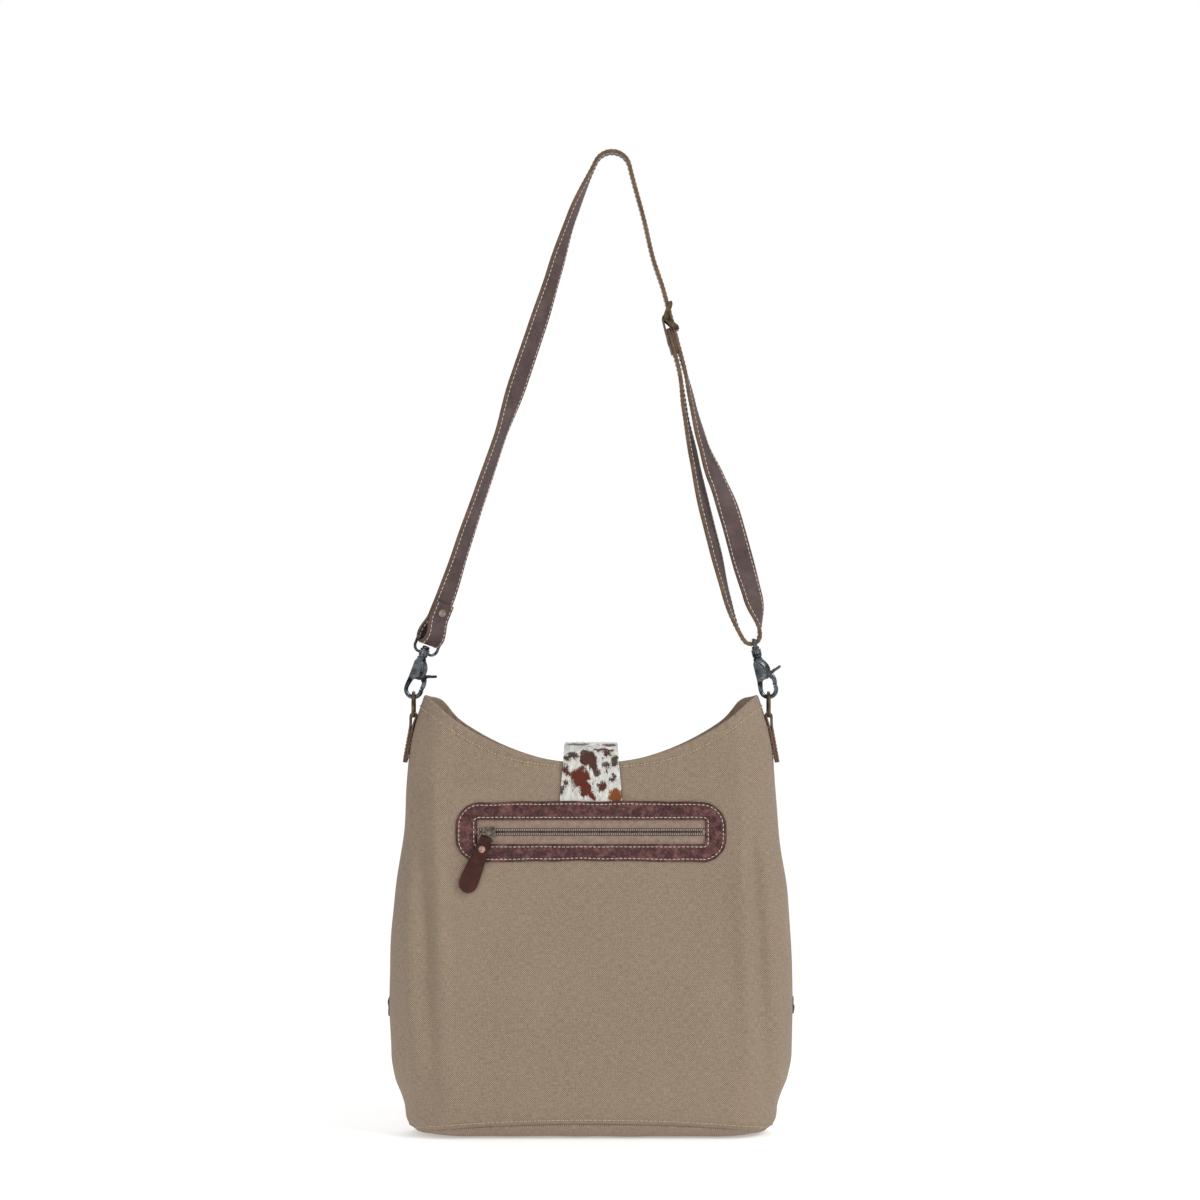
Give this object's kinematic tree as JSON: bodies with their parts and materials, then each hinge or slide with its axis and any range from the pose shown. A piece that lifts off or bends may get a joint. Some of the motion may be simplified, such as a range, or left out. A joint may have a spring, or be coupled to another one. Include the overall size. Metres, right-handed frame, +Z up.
{
  "type": "crossbody purse",
  "caption": "Soft canvas crossbody purse with a hollow curved mouth, snap tab, framed zip pocket and an adjustable leather strap on swivel snap hooks.",
  "frame": {"origin": "middle of the base's underside", "axes": "+Z up; +X to the right of someone looking at the zip pocket; +Y from the zip side to the front"},
  "size_m": [0.373, 0.107, 0.894],
  "materials": {
    "canvas": "fine cotton twill, matt, slightly heathered",
    "lining_cloth": "plain cotton lining",
    "hide": "short-haired hide, white with rust and dark patches",
    "trim_leather": "crackled wine-brown leather",
    "tab_leather": "waxed brown leather",
    "strap_leather": "dark plum-brown leather with raw tan edges",
    "chain_metal": "antiqued zip metal",
    "gunmetal": "burnished gunmetal plating",
    "spring_steel": "plain spring wire",
    "antique_brass": "dark antiqued brass wire",
    "copper": "polished rose-copper rivet"
  },
  "bodies": {
    "bag": {"back_panel": "canvas", "front_panel": "canvas", "base_panel": "canvas", "lining": "lining_cloth", "zip_pocket_bag": "lining_cloth", "front_hide_yoke": "hide", "front_braid": "trim_leather", "zip_frame": "trim_leather", "zip_tape_upper": "canvas", "zip_tape_lower": "canvas", "zip_teeth_upper": "chain_metal", "zip_teeth_lower": "chain_metal", "zip_stops": "chain_metal", "closure_tab_base": "hide", "magnet_socket": "gunmetal", "magnet_washer": "gunmetal", "left_side_tab": "tab_leather", "right_side_tab": "tab_leather"},
    "shoulder_strap": {"strap": "strap_leather", "strap_end_rivet": "copper", "left_hook_eye": "gunmetal", "right_hook_eye": "gunmetal"},
    "adjuster": {"strap_adjuster": "gunmetal", "strap_adjuster_fold": "strap_leather", "adjuster_rivet": "gunmetal"},
    "left_hook_body": {"left_hook": "gunmetal", "left_hook_pin": "gunmetal", "left_hook_spring": "spring_steel"},
    "left_gate_body": {"left_hook_gate": "gunmetal"},
    "right_hook_body": {"right_hook": "gunmetal", "right_hook_pin": "gunmetal", "right_hook_spring": "spring_steel"},
    "right_gate_body": {"right_hook_gate": "gunmetal"},
    "left_ring_body": {"left_ring": "antique_brass"},
    "right_ring_body": {"right_ring": "antique_brass"},
    "slider": {"zip_slider": "chain_metal"},
    "pull_link": {"zip_link": "chain_metal"},
    "pull": {"zip_pull": "trim_leather", "zip_pull_rivet": "copper"},
    "flap": {"closure_tab": "hide", "closure_tab_backing": "trim_leather", "magnet_stud": "gunmetal"}
  },
  "joints": [
    {"name": "strap_swing", "type": "hinge", "parent": "bag", "child": "shoulder_strap", "pos_m": [0, 0, 0.39545], "axis": [1, 0, 0], "range_deg": [-60, 60]},
    {"name": "flap_open", "type": "hinge", "parent": "bag", "child": "flap", "pos_m": [0, -0.0374, 0.338], "axis": [1, 0, 0], "range_deg": [0, 140]},
    {"name": "zip_travel", "type": "slide", "parent": "bag", "child": "slider", "axis": [1, 0, 0], "range_m": [0, 0.184]},
    {"name": "link_swing", "type": "hinge", "parent": "slider", "child": "pull_link", "pos_m": [-0.092, -0.0404, 0.275], "axis": [0, 1, 0], "range_deg": [-100, 60]},
    {"name": "pull_lift", "type": "hinge", "parent": "pull_link", "child": "pull", "pos_m": [-0.0944, -0.0404, 0.26907], "axis": [-0.9272, 0, 0.3746], "range_deg": [0, 90]},
    {"name": "left_ring_tilt", "type": "hinge", "parent": "bag", "child": "left_ring_body", "pos_m": [-0.1618, 0, 0.3784], "axis": [0, 1, 0], "range_deg": [-2, 2]},
    {"name": "left_hook_swivel", "type": "hinge", "parent": "shoulder_strap", "child": "left_hook_body", "pos_m": [-0.15221, 0, 0.43633], "axis": [0.3746, 0, 0.9272], "range_deg": [-6, 6]},
    {"name": "left_gate_open", "type": "hinge", "parent": "left_hook_body", "child": "left_gate_body", "pos_m": [-0.15422, 0, 0.41988], "axis": [0, 1, 0], "range_deg": [0, 25], "stiffness_Nm_per_rad": 0.05},
    {"name": "right_ring_tilt", "type": "hinge", "parent": "bag", "child": "right_ring_body", "pos_m": [0.1618, 0, 0.3784], "axis": [0, 1, 0], "range_deg": [-2, 2]},
    {"name": "right_hook_swivel", "type": "hinge", "parent": "shoulder_strap", "child": "right_hook_body", "pos_m": [0.15081, 0, 0.43589], "axis": [-0.2079, 0, 0.9781], "range_deg": [-10, 10]},
    {"name": "right_gate_open", "type": "hinge", "parent": "right_hook_body", "child": "right_gate_body", "pos_m": [0.15834, 0, 0.42114], "axis": [0, 1, 0], "range_deg": [0, 25], "stiffness_Nm_per_rad": 0.05},
    {"name": "adjuster_slide", "type": "slide", "parent": "shoulder_strap", "child": "adjuster", "axis": [-0.2588, 0, 0.9659], "range_m": [-0.008, 0.008]}
  ]
}
